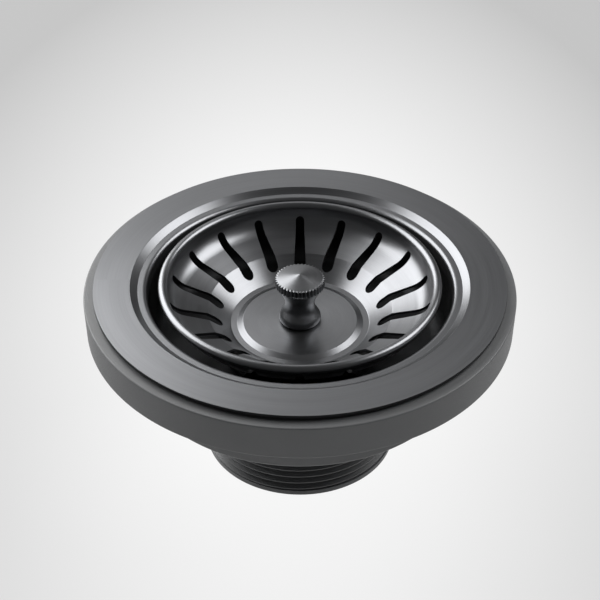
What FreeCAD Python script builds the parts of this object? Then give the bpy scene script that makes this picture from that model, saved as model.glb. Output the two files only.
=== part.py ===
import FreeCAD, Part
import math
import os
import re

import Sketcher

# Basket strainer waste for a kitchen sink, in millimetres. The origin is on the axis, in the plane of
# the flange's underside, where it seats on the sink. The basket is drawn up, in its straining position.

SIZES = {
    # Pressed flange and dish: radii and depths are of the upper surface, depths are below the flange's top
    "flange_gauge": 0.9,
    "dish_radius": 42.3,
    "dish_lip_bend": 1.3,
    "dish_draft": 1.0,
    "dish_bend": 5.0,
    "dish_floor_fall": 0.7,
    "ledge_width": 2.6,
    "ledge_depth": 1.3,
    "bevel_width": 1.95,
    "flange_width": 10.15,
    "flange_edge_round": 0.3,
    "seat_width": 2.5,
    "sump_clearance": 1.8,
    "sump_drop": 5.2,
    "sump_bend": 1.5,
    "drain_count": 9,
    "drain_width": 5.4,
    "drain_inner_gap": 1.2,
    "drain_outer_gap": 2.1,
    # Gaskets above and below the sink
    "flange_gasket_inset": 0.8,
    "flange_gasket_gap": 0.95,
    "flange_gasket_gauge": 0.5,
    "body_gasket_gauge": 1.6,
    "gasket_clearance": 0.2,
    # Moulded lower body and its tail
    "drum_clearance": 1.4,
    "drum_wall": 2.5,
    "drum_gap": 2.8,
    "drum_floor": 2.4,
    "drum_edge_round": 0.8,
    "mouth_bevel": 2.6,
    "ring_overhang": 12.6,
    "ring_draft": 0.25,
    "ring_fall": 0.35,
    "ring_height": 10.5,
    "ring_plate": 3.9,
    "ring_wall": 2.4,
    "ring_edge_round": 0.3,
    "ring_rib_count": 12,
    "ring_rib_wall": 2.0,
    "ring_rib_recess": 1.5,
    "groove_inset": 1.3,
    "groove_lip": 4.1,
    "groove_depth": 1.4,
    "tail_radius": 26.873,
    "tail_wall": 3.673,
    "tail_length": 29.3,
    "tail_edge": 0.5,
    "tail_root_bevel": 1.0,
    "thread_neck": 4.0,
    "thread_relief_width": 1.6,
    "thread_relief_depth": 1.5,
    "hub_wall": 1.8,
    "hub_length": 13.4,
    "hub_gap": 0.6,
    "web_count": 4,
    "web_wall": 2.4,
    "web_drop": 2.4,
    # Clamping screw, its washer and the insert it threads into
    "screw_radius": 4.95,
    "screw_wall": 1.55,
    "screw_length": 13.7,
    "screw_head_rim": 2.05,
    "screw_head_height": 2.2,
    "screw_slot_width": 1.8,
    "screw_slot_depth": 1.1,
    "screw_clearance": 0.05,
    "screw_hole_clearance": 0.25,
    "screw_washer_rim": 1.0,
    "screw_washer_gauge": 0.8,
    "insert_wall": 1.2,
    "insert_length": 11.0,
    # Pressed basket: radii are of the upper surface, heights are from the middle of its rolled rim
    "basket_gauge": 0.8,
    "basket_gap": 5.8,
    "basket_rise": 0.3,
    "basket_wall": 5.22,
    "basket_bend": 6.5,
    "basket_cone_angle": 19.0,
    "plateau_radius": 16.0,
    "plateau_height": 0.7,
    "step_width": 1.7,
    "floor_band_width": 1.8,
    "floor_cone_width": 6.3,
    "floor_cone_angle": 38.4,
    "rim_bead_radius": 1.05,
    "rim_bead_overhang": 0.05,
    "slot_count": 18,
    "slot_inner_gap": 2.4,
    "slot_outer_gap": 0.3,
    "slot_inner_width": 3.4,
    "slot_outer_width": 2.5,
    "slot_top_depth": 2.9,
    "slot_top_length": 4.6,
    # Knob
    "knob_height": 15.7,
    "knob_radius": 6.9,
    "knob_cone": 1.45,
    "knob_edge": 2.2,
    "knob_neck_radius": 4.15,
    "knob_waist_height": 1.7,
    "knob_flare_height": 2.9,
    "knob_flare_rim": 0.6,
    "knob_bulb_radius": 5.85,
    "knob_bulb_height": 1.9,
    "knob_base_round": 1.1,
    "knob_bulb_round": 1.9,
    "knob_waist_round": 2.7,
    "knob_flare_round": 5.0,
    "knurl_count": 40,
    "knurl_depth": 0.5,
    "knurl_width": 0.86,
    # Stem, stopper and catch
    "stem_radius": 2.5,
    "stem_grip": 8.0,
    "stem_clearance": 0.1,
    "stem_shoulder_radius": 4.5,
    "stem_shoulder_height": 1.2,
    "stem_neck_radius": 2.6,
    "stem_neck_length": 6.1,
    "stem_pin_radius": 2.0,
    "stem_tip_radius": 2.6,
    "stem_tip_height": 0.8,
    "stopper_gauge": 2.8,
    "stopper_pad_gap": 1.0,
    "stopper_bevel": 3.3,
    "stopper_lip_inset": 0.7,
    "stopper_lip_drop": 0.9,
    "stopper_lip_base": 1.4,
    "stopper_seat_gap": 0.3,
    "plug_stroke": 5.0,
    "backing_washer_radius": 11.0,
    "backing_washer_gauge": 1.0,
    "catch_fit": 0.06,
    "catch_waist_depth": 0.34,
    "catch_bead": 1.2,
    "catch_length": 6.4,
    "catch_clearance": 0.08,
    "catch_slit_width": 0.8,
    "catch_slit_length": 4.4,
}

doc = FreeCAD.newDocument("BasketStrainerWaste")
sheet = doc.addObject("Spreadsheet::Sheet", "Sizes")
for row, (alias, number) in enumerate(SIZES.items(), start=1):
    sheet.set(f"A{row}", alias)
    sheet.set(f"B{row}", str(number))
    sheet.setAlias(f"B{row}", alias)
doc.recompute()

# Radii that several pieces share, as formulas of the sheet's cells
LEDGE_RADIUS = "(dish_radius + ledge_width)"
BEVEL_RADIUS = f"({LEDGE_RADIUS} + bevel_width)"
FLANGE_RADIUS = f"({BEVEL_RADIUS} + flange_width)"
DRUM_BORE = "(dish_radius + flange_gauge + drum_clearance)"
DRUM_RADIUS = f"({DRUM_BORE} + drum_wall)"
RING_RADIUS = f"({DRUM_RADIUS} + ring_overhang)"
GROOVE_INNER = f"({DRUM_RADIUS} + groove_inset)"
GROOVE_OUTER = f"({RING_RADIUS} - groove_lip)"
TAIL_BORE = "(tail_radius - tail_wall)"
SUMP_RADIUS = f"({TAIL_BORE} - sump_clearance - flange_gauge)"
SEAT_RADIUS = f"({SUMP_RADIUS} + seat_width)"
SCREW_BORE = "(screw_radius - screw_wall)"
SCREW_HEAD = "(screw_radius + screw_head_rim)"
WASHER_RADIUS = f"({SCREW_HEAD} + screw_washer_rim)"
INSERT_RADIUS = "(screw_radius + screw_clearance + insert_wall)"
BASKET_RADIUS = "(dish_radius - basket_gap)"
STEP_RADIUS = "(plateau_radius + step_width)"
FLOOR_RADIUS = f"({STEP_RADIUS} + floor_band_width)"
CREASE_RADIUS = f"({FLOOR_RADIUS} + floor_cone_width)"
STOPPER_LIP = f"({SEAT_RADIUS} - stopper_lip_inset)"
CATCH_RADIUS = f"({SCREW_BORE} - catch_fit)"

# Heights that several pieces share
LEDGE_TOP = "(flange_gauge - ledge_depth)"
WALL_BASE = "(basket_rise - basket_wall)"
CREASE_TOP = f"({WALL_BASE} - ({BASKET_RADIUS} - {CREASE_RADIUS}) * tan(basket_cone_angle * 1 deg))"
BASKET_FLOOR = f"({CREASE_TOP} - floor_cone_width * tan(floor_cone_angle * 1 deg))"
PLATEAU_TOP = f"({BASKET_FLOOR} + plateau_height)"
STOPPER_TOP = f"({BASKET_FLOOR} - basket_gauge)"
SHOULDER_TOP = f"({STOPPER_TOP} - stopper_gauge - backing_washer_gauge)"
CATCH_TOP = f"({SHOULDER_TOP} - stem_shoulder_height - stem_neck_length)"
SEATED_LIP = f"({STOPPER_TOP} - stopper_lip_base - plug_stroke - stopper_seat_gap)"
SEAT_TOP = f"({SEATED_LIP} + stopper_lip_inset)"
DISH_FLOOR = f"({SEAT_TOP} + dish_floor_fall)"
SEAT_BASE = f"({SEAT_TOP} - seat_width)"
SUMP_FLOOR = f"({SEAT_BASE} - sump_drop)"
SCREW_SEAT = f"({SUMP_FLOOR} + screw_washer_gauge)"
HUB_TOP = f"({SUMP_FLOOR} - flange_gauge - hub_gap)"
GROOVE_FLOOR = "(-flange_gasket_gauge - body_gasket_gauge)"
RING_TOP = f"({GROOVE_FLOOR} + groove_depth)"
RING_EDGE = f"({RING_TOP} - ring_fall)"
RING_BASE = f"({RING_TOP} - ring_height)"
PLATE_BASE = f"({RING_TOP} - ring_plate)"
DRUM_FLOOR = f"({DISH_FLOOR} - flange_gauge - drum_gap)"
DRUM_BASE = f"({DRUM_FLOOR} - drum_floor)"
TAIL_END = f"({DRUM_BASE} - tail_length)"
RELIEF_TOP = f"({DRUM_BASE} - thread_neck)"
THREAD_TOP = f"({RELIEF_TOP} - thread_relief_width)"


def formula(words):
    """The words with each size written as a cell of the sheet."""
    def as_cell(match):
        return f"Sizes.{match[0]}" if match[0] in SIZES else match[0]

    return re.sub(r"[a-z_]+", as_cell, words)


def size(words):
    """The number that a formula gives."""
    return float(sheet.evalExpression(formula(words)))


def bind(target, path, words):
    """Tie one property to a formula of the sheet's sizes."""
    target.setExpression(path, formula(words))


def datum(body, role):
    """One of the body's own origin planes or axes."""
    return next(feature for feature in body.Origin.OriginFeatures if feature.Role == role)


def new_body(label, height="0"):
    """An empty body whose own zero lies at this height."""
    body = doc.addObject("PartDesign::Body", label)
    bind(body, "Placement.Base.z", height)
    return body


def new_sketch(body, name, plane, height="0", turn=0):
    """An empty sketch on one of the body's planes, raised and turned about the plane's normal."""
    sketch = body.newObject("Sketcher::SketchObject", name)
    sketch.AttachmentSupport = (datum(body, plane), "")
    sketch.MapMode = "FlatFace"
    spin = FreeCAD.Rotation(FreeCAD.Vector(0, 0, 1), turn)
    sketch.AttachmentOffset = FreeCAD.Placement(FreeCAD.Vector(0, 0, size(height)), spin)
    bind(sketch, "AttachmentOffset.Base.z", height)
    return sketch


def add_dimension(sketch, kind, places, words):
    """A driving dimension tied to a formula."""
    index = sketch.addConstraint(Sketcher.Constraint(kind, *places, size(words)))
    bind(sketch, f"Constraints[{index}]", words)


def draw_outline(sketch, corners):
    """A closed outline of straight lines, each corner a pair of formulas."""
    points = [FreeCAD.Vector(size(across), size(up), 0) for across, up in corners]
    first = sketch.GeometryCount
    count = len(corners)
    for index in range(count):
        sketch.addGeometry(Part.LineSegment(points[index], points[(index + 1) % count]))
    for index, (across, up) in enumerate(corners):
        before = first + (index - 1) % count
        sketch.addConstraint(Sketcher.Constraint("Coincident", before, 2, first + index, 1))
        add_dimension(sketch, "DistanceX", (-1, 1, first + index, 1), across)
        add_dimension(sketch, "DistanceY", (-1, 1, first + index, 1), up)


def draw_circle(sketch, radius):
    """A circle about the sketch's own centre."""
    index = sketch.addGeometry(Part.Circle(FreeCAD.Vector(), FreeCAD.Vector(0, 0, 1), size(radius)))
    sketch.addConstraint(Sketcher.Constraint("Coincident", index, 3, -1, 1))
    add_dimension(sketch, "Radius", (index,), radius)


def draw_tapered_slot(sketch, inner_radius, outer_radius, inner_width, outer_width):
    """A radial slot with round ends of two widths, along the sketch's own upright axis."""
    inner_round = size(inner_width) / 2
    outer_round = size(outer_width) / 2
    inner_centre = FreeCAD.Vector(0, size(inner_radius) + inner_round, 0)
    outer_centre = FreeCAD.Vector(0, size(outer_radius) - outer_round, 0)
    lean = math.asin((inner_round - outer_round) / (outer_centre.y - inner_centre.y))
    up = FreeCAD.Vector(0, 0, 1)
    inner_circle = Part.Circle(inner_centre, up, inner_round)
    outer_circle = Part.Circle(outer_centre, up, outer_round)
    inner_end = Part.ArcOfCircle(inner_circle, math.pi - lean, 2 * math.pi + lean)
    outer_end = Part.ArcOfCircle(outer_circle, lean, math.pi - lean)
    right_side = Part.LineSegment(inner_end.EndPoint, outer_end.StartPoint)
    left_side = Part.LineSegment(outer_end.EndPoint, inner_end.StartPoint)
    inner, right, outer, left = sketch.addGeometry([inner_end, right_side, outer_end, left_side])
    for earlier, later in ((inner, right), (right, outer), (outer, left), (left, inner)):
        sketch.addConstraint(Sketcher.Constraint("Tangent", earlier, 2, later, 1))
    for arc in (inner, outer):
        sketch.addConstraint(Sketcher.Constraint("PointOnObject", arc, 3, -2))
    add_dimension(sketch, "Radius", (inner,), f"{inner_width} / 2")
    add_dimension(sketch, "Radius", (outer,), f"{outer_width} / 2")
    add_dimension(sketch, "DistanceY", (-1, 1, inner, 3), f"{inner_radius} + {inner_width} / 2")
    add_dimension(sketch, "DistanceY", (-1, 1, outer, 3), f"{outer_radius} - {outer_width} / 2")


def turn_outline(body, name, corners):
    """Turn a closed outline of (radius, height) corners about the body's axis."""
    sketch = new_sketch(body, f"{name}_outline", "XZ_Plane")
    draw_outline(sketch, corners)
    return turn_sketch(body, name, sketch)


def turn_sketch(body, name, sketch):
    """Turn a sketch about its own upright axis."""
    turning = body.newObject("PartDesign::Revolution", name)
    turning.Profile = sketch
    turning.ReferenceAxis = (sketch, ["V_Axis"])
    turning.Angle = 360
    doc.recompute()
    return turning


def turned_piece(label, corners, height="0"):
    """A piece turned from one outline."""
    body = new_body(label, height)
    turn_outline(body, f"{label}_turning", corners)
    return body


def ring_edges(shape, radius, height):
    """Names of the circular edges of this radius at this height."""
    names = []
    for index, edge in enumerate(shape.Edges, start=1):
        curve = edge.Curve
        if not isinstance(curve, Part.Circle):
            continue
        if math.isclose(curve.Radius, size(radius), abs_tol=1e-4):
            if math.isclose(curve.Center.z, size(height), abs_tol=1e-4):
                names.append(f"Edge{index}")
    if not names:
        raise ValueError(f"no edge of radius {radius} at {height}")
    return names


def round_ring(body, name, fillet_radius, *rings):
    """Fillet the circular edges given as (radius, height) pairs."""
    base = body.Tip
    names = [edge for radius, height in rings for edge in ring_edges(base.Shape, radius, height)]
    fillet = body.newObject("PartDesign::Fillet", name)
    fillet.Base = (base, names)
    bind(fillet, "Radius", fillet_radius)
    doc.recompute()


def press_sheet(body, name, gauge, mouth):
    """Turn a solid hollow into sheet of one gauge, laid on its outside and open at its mouth."""
    base = body.Tip
    names = []
    for index, face in enumerate(base.Shape.Faces, start=1):
        if math.isclose(face.CenterOfMass.z, size(mouth), abs_tol=1e-6):
            names.append(f"Face{index}")
    sheeting = body.newObject("PartDesign::Thickness", name)
    sheeting.Base = (base, names)
    sheeting.Join = "Intersection"
    sheeting.Reversed = False
    bind(sheeting, "Value", gauge)
    doc.recompute()


def cut_through(body, name, sketch, side="Symmetric", towards_normal=False):
    """Cut a sketch through the body, on both sides of its plane or on one."""
    before = body.Shape.Volume
    doc.recompute()
    pocket = body.newObject("PartDesign::Pocket", name)
    pocket.Profile = sketch
    pocket.Type = "ThroughAll"
    pocket.SideType = side
    pocket.Reversed = towards_normal
    doc.recompute()
    if body.Shape.Volume >= before:
        raise ValueError(f"{name} cuts nothing")
    return pocket


def raise_pad(body, name, sketch, length):
    """Raise a sketch upwards from its plane."""
    doc.recompute()
    pad = body.newObject("PartDesign::Pad", name)
    pad.Profile = sketch
    bind(pad, "Length", length)
    doc.recompute()
    return pad


def repeat_round(body, name, features, sketch, count):
    """Repeat features evenly about the body's axis."""
    pattern = body.newObject("PartDesign::PolarPattern", name)
    pattern.Originals = features
    pattern.Axis = (sketch, ["N_Axis"])
    pattern.Angle = 360
    bind(pattern, "Occurrences", count)
    body.Tip = pattern
    doc.recompute()


def make_flange_dish():
    """Flange, bevelled step, ledge, dish, stopper seat and sump, pressed from one sheet."""
    body = new_body("flange_dish")
    turn_outline(body, "dish_hollow", [
        ("0", "flange_gauge"),
        (BEVEL_RADIUS, "flange_gauge"),
        (LEDGE_RADIUS, LEDGE_TOP),
        ("dish_radius", LEDGE_TOP),
        ("dish_radius - dish_draft", DISH_FLOOR),
        (SEAT_RADIUS, SEAT_TOP),
        (SUMP_RADIUS, SEAT_BASE),
        (SUMP_RADIUS, SUMP_FLOOR),
        ("0", SUMP_FLOOR),
    ])
    round_ring(body, "lip_bend", "dish_lip_bend", ("dish_radius", LEDGE_TOP))
    round_ring(body, "floor_bend", "dish_bend", ("dish_radius - dish_draft", DISH_FLOOR))
    round_ring(body, "sump_bend", "sump_bend", (SUMP_RADIUS, SUMP_FLOOR))
    press_sheet(body, "dish_sheet", "flange_gauge", "flange_gauge")
    turn_outline(body, "flange", [
        (BEVEL_RADIUS, "0"),
        (FLANGE_RADIUS, "0"),
        (FLANGE_RADIUS, "flange_gauge"),
        (BEVEL_RADIUS, "flange_gauge"),
    ])
    round_ring(body, "flange_edge", "flange_edge_round", (FLANGE_RADIUS, "flange_gauge"))
    screw_hole = new_sketch(body, "screw_hole_circle", "XY_Plane")
    draw_circle(screw_hole, "screw_radius + screw_hole_clearance")
    cut_through(body, "screw_hole", screw_hole)
    drain = new_sketch(body, "drain_outline", "XY_Plane")
    drain_inner = f"{WASHER_RADIUS} + drain_inner_gap"
    drain_outer = f"{SUMP_RADIUS} - drain_outer_gap"
    draw_tapered_slot(drain, drain_inner, drain_outer, "drain_width", "drain_width")
    repeat_round(body, "drains", [cut_through(body, "drain", drain)], drain, "drain_count")
    return body


def make_flat_ring(label, inner, outer, gauge, base):
    """A flat ring such as a washer or gasket, standing on its base height."""
    return turned_piece(label, [(inner, "0"), (outer, "0"), (outer, gauge), (inner, gauge)], base)


def make_lower_body():
    """Clamping ring with its ribbed skirt, and the drum with the tail's hole in its floor."""
    body = new_body("lower_body")
    ring_base_radius = f"({RING_RADIUS} - ring_draft)"
    skirt_bore = f"({ring_base_radius} - ring_wall)"
    turn_outline(body, "body_turning", [
        (f"{DRUM_BORE} + mouth_bevel", RING_TOP),
        (GROOVE_INNER, RING_TOP),
        (GROOVE_INNER, GROOVE_FLOOR),
        (GROOVE_OUTER, GROOVE_FLOOR),
        (GROOVE_OUTER, RING_TOP),
        (RING_RADIUS, RING_EDGE),
        (ring_base_radius, RING_BASE),
        (skirt_bore, RING_BASE),
        (skirt_bore, PLATE_BASE),
        (DRUM_RADIUS, PLATE_BASE),
        (DRUM_RADIUS, DRUM_BASE),
        (TAIL_BORE, DRUM_BASE),
        (TAIL_BORE, DRUM_FLOOR),
        (DRUM_BORE, DRUM_FLOOR),
        (DRUM_BORE, f"{RING_TOP} - mouth_bevel"),
    ])
    edge_rings = ((RING_RADIUS, RING_EDGE), (ring_base_radius, RING_BASE))
    round_ring(body, "ring_edge", "ring_edge_round", *edge_rings)
    round_ring(body, "drum_edge", "drum_edge_round", (DRUM_RADIUS, DRUM_BASE))
    rib_base = f"({RING_BASE} + ring_rib_recess)"
    rib_start = f"({DRUM_RADIUS} - drum_wall / 2)"
    rib_end = f"({skirt_bore} + ring_wall / 2)"
    rib = new_sketch(body, "ring_rib_plan", "XY_Plane", rib_base)
    draw_outline(rib, rib_plan(rib_start, rib_end, "ring_rib_wall"))
    first_rib = raise_pad(body, "ring_rib", rib, f"{PLATE_BASE} + ring_plate / 4 - {rib_base}")
    repeat_round(body, "ring_ribs", [first_rib], rib, "ring_rib_count")
    return body


def make_tail():
    """Tail under the drum, relieved above its thread, with the webbed hub that the screw pulls on."""
    body = new_body("tail")
    relief_radius = "(tail_radius - thread_relief_depth)"
    turn_outline(body, "tail_turning", [
        ("tail_radius + tail_root_bevel", DRUM_BASE),
        ("tail_radius", f"{DRUM_BASE} - tail_root_bevel"),
        ("tail_radius", RELIEF_TOP),
        (relief_radius, RELIEF_TOP),
        (relief_radius, THREAD_TOP),
        ("tail_radius", THREAD_TOP),
        ("tail_radius", f"{TAIL_END} + tail_edge"),
        ("tail_radius - tail_edge", TAIL_END),
        (TAIL_BORE, TAIL_END),
        (TAIL_BORE, DRUM_BASE),
    ])
    web = new_sketch(body, "web_plan", "XY_Plane", f"{HUB_TOP} - hub_length", turn=45)
    draw_outline(web, rib_plan("0", f"({TAIL_BORE} + {relief_radius}) / 2", "web_wall"))
    first_web = raise_pad(body, "web", web, "hub_length - web_drop")
    repeat_round(body, "webs", [first_web], web, "web_count")
    hub = new_sketch(body, "hub_plan", "XY_Plane", f"{HUB_TOP} - hub_length")
    draw_circle(hub, f"{INSERT_RADIUS} + hub_wall")
    raise_pad(body, "hub", hub, "hub_length")
    insert_hole = new_sketch(body, "insert_hole_circle", "XY_Plane")
    draw_circle(insert_hole, INSERT_RADIUS)
    cut_through(body, "insert_hole", insert_hole)
    return body


def rib_plan(start, end, wall):
    """Corners of a straight rib along the sketch's X axis."""
    return [(start, f"-{wall} / 2"), (end, f"-{wall} / 2"), (end, f"{wall} / 2"), (start, f"{wall} / 2")]


def make_clamp_screw():
    """Hollow screw with a slotted head, drawn from the underside of its head."""
    body = turned_piece("clamp_screw", [
        (SCREW_BORE, "screw_head_height"),
        (SCREW_HEAD, "screw_head_height"),
        (SCREW_HEAD, "0"),
        ("screw_radius", "0"),
        ("screw_radius", "-screw_length"),
        (SCREW_BORE, "-screw_length"),
    ], SCREW_SEAT)
    slot = new_sketch(body, "screw_slot_plan", "XY_Plane", "screw_head_height - screw_slot_depth")
    draw_outline(slot, rib_plan(f"-{WASHER_RADIUS}", WASHER_RADIUS, "screw_slot_width"))
    cut_through(body, "screw_slot", slot, "One side", towards_normal=True)
    return body


def make_basket():
    """Pressed bowl: steep wall, two cones that meet at a crease, raised centre, rolled rim and slots."""
    body = new_body("basket")
    turn_outline(body, "bowl_hollow", [
        ("0", "basket_rise"),
        (BASKET_RADIUS, "basket_rise"),
        (BASKET_RADIUS, WALL_BASE),
        (CREASE_RADIUS, CREASE_TOP),
        (FLOOR_RADIUS, BASKET_FLOOR),
        (STEP_RADIUS, BASKET_FLOOR),
        ("plateau_radius", PLATEAU_TOP),
        ("0", PLATEAU_TOP),
    ])
    round_ring(body, "wall_bend", "basket_bend", (BASKET_RADIUS, WALL_BASE))
    press_sheet(body, "bowl_sheet", "basket_gauge", "basket_rise")
    rim = new_sketch(body, "rim_bead_section", "XZ_Plane")
    bead_across = f"{BASKET_RADIUS} + rim_bead_radius - rim_bead_overhang"
    centre = FreeCAD.Vector(size(bead_across), size("basket_rise"), 0)
    bead = rim.addGeometry(Part.Circle(centre, FreeCAD.Vector(0, 0, 1), size("rim_bead_radius")))
    add_dimension(rim, "Radius", (bead,), "rim_bead_radius")
    add_dimension(rim, "DistanceX", (-1, 1, bead, 3), bead_across)
    add_dimension(rim, "DistanceY", (-1, 1, bead, 3), "basket_rise")
    turn_sketch(body, "rim_bead", rim)
    stem_hole = new_sketch(body, "stem_hole_circle", "XY_Plane")
    draw_circle(stem_hole, "stem_radius + stem_clearance")
    cut_through(body, "stem_hole", stem_hole)
    slot = new_sketch(body, "slot_outline", "XY_Plane")
    slot_inner = f"{FLOOR_RADIUS} + slot_inner_gap"
    slot_outer = f"{BASKET_RADIUS} - slot_outer_gap"
    draw_tapered_slot(slot, slot_inner, slot_outer, "slot_inner_width", "slot_outer_width")
    slot_top = new_sketch(body, "slot_top_outline", "XZ_Plane")
    top_end = "(basket_rise - slot_top_depth)"
    top_start = f"({top_end} - slot_top_length)"
    draw_tapered_slot(slot_top, top_start, top_end, "slot_outer_width", "slot_outer_width")
    cuts = [cut_through(body, "slot", slot), cut_through(body, "slot_top", slot_top, "One side")]
    repeat_round(body, "slots", cuts, slot, "slot_count")
    return body


def make_knob():
    """Turned knob: a bulb on the basket, a waisted neck and a coned head with a knurled edge."""
    edge_top = "(knob_height - knob_cone)"
    edge_base = f"({edge_top} - knob_edge)"
    neck_start = "(knob_bulb_height + knob_waist_height)"
    neck_end = f"({edge_base} - knob_flare_height)"
    bore = "stem_radius + stem_clearance / 2"
    body = turned_piece("knob", [
        (bore, "0"),
        ("knob_bulb_radius", "0"),
        ("knob_bulb_radius", "knob_bulb_height"),
        ("knob_neck_radius", neck_start),
        ("knob_neck_radius", neck_end),
        ("knob_radius - knob_flare_rim", edge_base),
        ("knob_radius", edge_base),
        ("knob_radius", edge_top),
        ("0", "knob_height"),
        ("0", "stem_grip"),
        (bore, "stem_grip"),
    ], PLATEAU_TOP)
    round_ring(body, "bulb_base", "knob_base_round", ("knob_bulb_radius", "0"))
    round_ring(body, "bulb_shoulder", "knob_bulb_round", ("knob_bulb_radius", "knob_bulb_height"))
    round_ring(body, "waist", "knob_waist_round", ("knob_neck_radius", neck_start))
    round_ring(body, "neck_flare", "knob_flare_round", ("knob_neck_radius", neck_end))
    notch = new_sketch(body, "knurl_notch", "XY_Plane")
    draw_outline(notch, [
        ("knob_radius - knurl_depth", "0"),
        ("knob_radius + knurl_depth", "-knurl_width"),
        ("knob_radius + knurl_depth", "knurl_width"),
    ])
    repeat_round(body, "knurl", [cut_through(body, "knurl_cut", notch)], notch, "knurl_count")
    return body


def make_stem():
    """Threaded stem with a shoulder under the stopper, and a slim pin that the catch turns on."""
    neck_base = "(-stem_shoulder_height - stem_neck_length)"
    pin_base = f"({neck_base} - catch_length - 2 * catch_clearance)"
    stem_top = f"({PLATEAU_TOP} + stem_grip - stem_clearance - {SHOULDER_TOP})"
    return turned_piece("stem", [
        ("0", stem_top),
        ("stem_radius", stem_top),
        ("stem_radius", "0"),
        ("stem_shoulder_radius", "0"),
        ("stem_shoulder_radius", "-stem_shoulder_height"),
        ("stem_neck_radius", "-stem_shoulder_height"),
        ("stem_neck_radius", neck_base),
        ("stem_pin_radius", neck_base),
        ("stem_pin_radius", pin_base),
        ("stem_tip_radius", pin_base),
        ("stem_tip_radius", f"{pin_base} - stem_tip_height"),
        ("0", f"{pin_base} - stem_tip_height"),
    ], SHOULDER_TOP)


def make_stopper_seal():
    """Rubber stopper under the basket, whose bevelled lip meets the dish's seat when pushed down."""
    bore = "stem_radius + stem_clearance"
    pad_radius = "plateau_radius - stopper_pad_gap"
    return turned_piece("stopper_seal", [
        (bore, "plateau_height"),
        (pad_radius, "plateau_height"),
        (pad_radius, "0"),
        (f"{STOPPER_LIP} - stopper_bevel", "0"),
        (STOPPER_LIP, "-stopper_lip_drop"),
        (STOPPER_LIP, "-stopper_lip_base"),
        (f"{STOPPER_LIP} + stopper_lip_base - stopper_gauge", "-stopper_gauge"),
        (bore, "-stopper_gauge"),
    ], STOPPER_TOP)


def make_catch_bush():
    """Split bush with a bead at each end, a sliding fit in the hollow screw."""
    bore = "stem_pin_radius + catch_clearance"
    waist = f"{CATCH_RADIUS} - catch_waist_depth"
    body = turned_piece("catch_bush", [
        (bore, "0"),
        (CATCH_RADIUS, "0"),
        (CATCH_RADIUS, "-catch_bead"),
        (waist, "-2 * catch_bead"),
        (waist, "2 * catch_bead - catch_length"),
        (CATCH_RADIUS, "catch_bead - catch_length"),
        (CATCH_RADIUS, "-catch_length"),
        (bore, "-catch_length"),
    ], f"{CATCH_TOP} - catch_clearance")
    for plane in ("XZ_Plane", "YZ_Plane"):
        slit = new_sketch(body, f"slit_{plane}", plane)
        draw_outline(slit, [
            ("-catch_slit_width / 2", "-2 * catch_length"),
            ("catch_slit_width / 2", "-2 * catch_length"),
            ("catch_slit_width / 2", "catch_slit_length - catch_length"),
            ("-catch_slit_width / 2", "catch_slit_length - catch_length"),
        ])
        cut_through(body, f"slit_cut_{plane}", slit)
    return body


pieces = [
    make_flange_dish(),
    make_flat_ring("flange_gasket", f"{BEVEL_RADIUS} + flange_gasket_gap",
                   f"{FLANGE_RADIUS} - flange_gasket_inset", "flange_gasket_gauge", "-flange_gasket_gauge"),
    make_flat_ring("body_gasket", f"{GROOVE_INNER} + gasket_clearance",
                   f"{GROOVE_OUTER} - gasket_clearance", "body_gasket_gauge", GROOVE_FLOOR),
    make_lower_body(),
    make_tail(),
    make_flat_ring("threaded_insert", "screw_radius + screw_clearance", INSERT_RADIUS, "insert_length",
                   f"{HUB_TOP} - insert_length"),
    make_flat_ring("screw_washer", "screw_radius + screw_hole_clearance", WASHER_RADIUS,
                   "screw_washer_gauge", SUMP_FLOOR),
    make_clamp_screw(),
    make_basket(),
    make_knob(),
    make_stem(),
    make_stopper_seal(),
    make_flat_ring("backing_washer", "stem_radius + stem_clearance", "backing_washer_radius",
                   "backing_washer_gauge", SHOULDER_TOP),
    make_catch_bush(),
]
doc.recompute()

for entry in doc.Objects:
    if "Invalid" in entry.State or "Error" in entry.State:
        raise RuntimeError(f"{entry.Name} failed: {entry.State}")
for piece in pieces:
    if piece.Shape.isNull() or not piece.Shape.isValid() or len(piece.Shape.Solids) != 1:
        raise RuntimeError(f"{piece.Label} is not one sound solid")

os.makedirs("parts", exist_ok=True)
for piece in pieces:
    piece.Shape.exportStep(f"parts/{piece.Label}.step")
    print(f"{piece.Label}: {piece.Shape.Volume:.1f} mm3")
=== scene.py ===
"""Basket strainer waste: pressed flange and basket, turned knob and moulded body, over the solids."""

import math

import bpy
from bpy.props import FloatProperty, FloatVectorProperty, IntProperty, PointerProperty
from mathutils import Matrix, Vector


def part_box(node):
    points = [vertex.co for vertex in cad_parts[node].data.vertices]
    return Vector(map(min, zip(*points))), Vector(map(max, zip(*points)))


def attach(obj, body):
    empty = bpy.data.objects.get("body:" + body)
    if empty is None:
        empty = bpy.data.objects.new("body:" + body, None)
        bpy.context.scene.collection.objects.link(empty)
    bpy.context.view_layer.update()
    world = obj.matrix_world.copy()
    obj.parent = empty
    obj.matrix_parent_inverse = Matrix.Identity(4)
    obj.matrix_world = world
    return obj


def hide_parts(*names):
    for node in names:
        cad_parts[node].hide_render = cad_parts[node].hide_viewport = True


bl_info = {
    "name": "Basket Strainer Waste",
    "version": (1, 0, 0),
    "blender": (4, 5, 0),
    "location": "3D View > Sidebar > Strainer",
    "description": "Models and finishes a sink's basket strainer waste around its solids",
    "category": "Add Mesh",
}

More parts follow.
